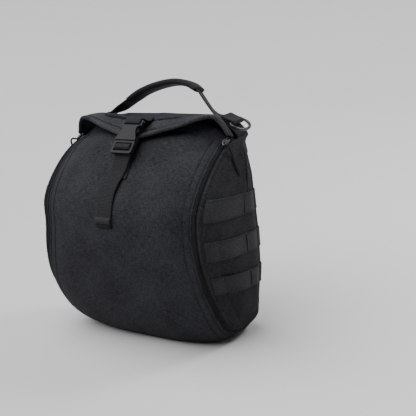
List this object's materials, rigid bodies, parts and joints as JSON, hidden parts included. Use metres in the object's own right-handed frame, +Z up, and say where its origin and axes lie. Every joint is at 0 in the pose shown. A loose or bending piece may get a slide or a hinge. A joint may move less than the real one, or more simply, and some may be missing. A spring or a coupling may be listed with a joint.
{
  "type": "tactical helmet bag",
  "caption": "Padded drum-shaped fabric bag with zipped side gussets, load webbing, a buckled hood flap, a grip handle and swinging D-rings.",
  "frame": {"origin": "middle of the bounding box at the base, on the surface that the bag stands on", "axes": "+Z up, the curved front panel and buckle face -Y, the flat back faces +Y, +X to the bag's right seen from behind its back"},
  "size_m": [0.3072, 0.1564, 0.3402],
  "materials": {
    "fabric": "matte woven nylon, near black",
    "webbing": "ribbed nylon webbing, black",
    "zip": "coil zip on woven tape, black",
    "plastic": "satin moulded plastic, black",
    "metal": "dark coated metal"
  },
  "bodies": {
    "bag": {"front_panel": "fabric", "back_panel": "fabric", "side_panel_left": "fabric", "side_panel_right": "fabric", "top_flap": "fabric", "zip_left": "zip", "zip_right": "zip", "zip_slider_left": "metal", "zip_slider_right": "metal", "zip_pull_left": "webbing", "zip_pull_right": "webbing", "webbing_row_1_left": "webbing", "webbing_row_1_right": "webbing", "webbing_row_2_left": "webbing", "webbing_row_2_right": "webbing", "webbing_row_3_left": "webbing", "webbing_row_3_right": "webbing", "handle_grip": "webbing", "handle_strap_left": "webbing", "handle_strap_right": "webbing", "ring_tab_left": "webbing", "ring_tab_right": "webbing", "buckle_female": "plastic", "buckle_male": "plastic", "buckle_strap": "webbing", "flap_strap": "webbing"},
    "ring_left": {"d_ring_left": "metal"},
    "ring_right": {"d_ring_right": "metal"}
  },
  "joints": [
    {"name": "ring_swing_right", "type": "hinge", "parent": "bag", "child": "ring_right", "pos_m": [0.12392, 0.05961, 0.2846], "axis": [0, 1, 0], "range_deg": [-95, 14]},
    {"name": "ring_swing_left", "type": "hinge", "parent": "bag", "child": "ring_left", "pos_m": [-0.10108, 0.05961, 0.2846], "axis": [0, -1, 0], "range_deg": [-95, 14]}
  ]
}
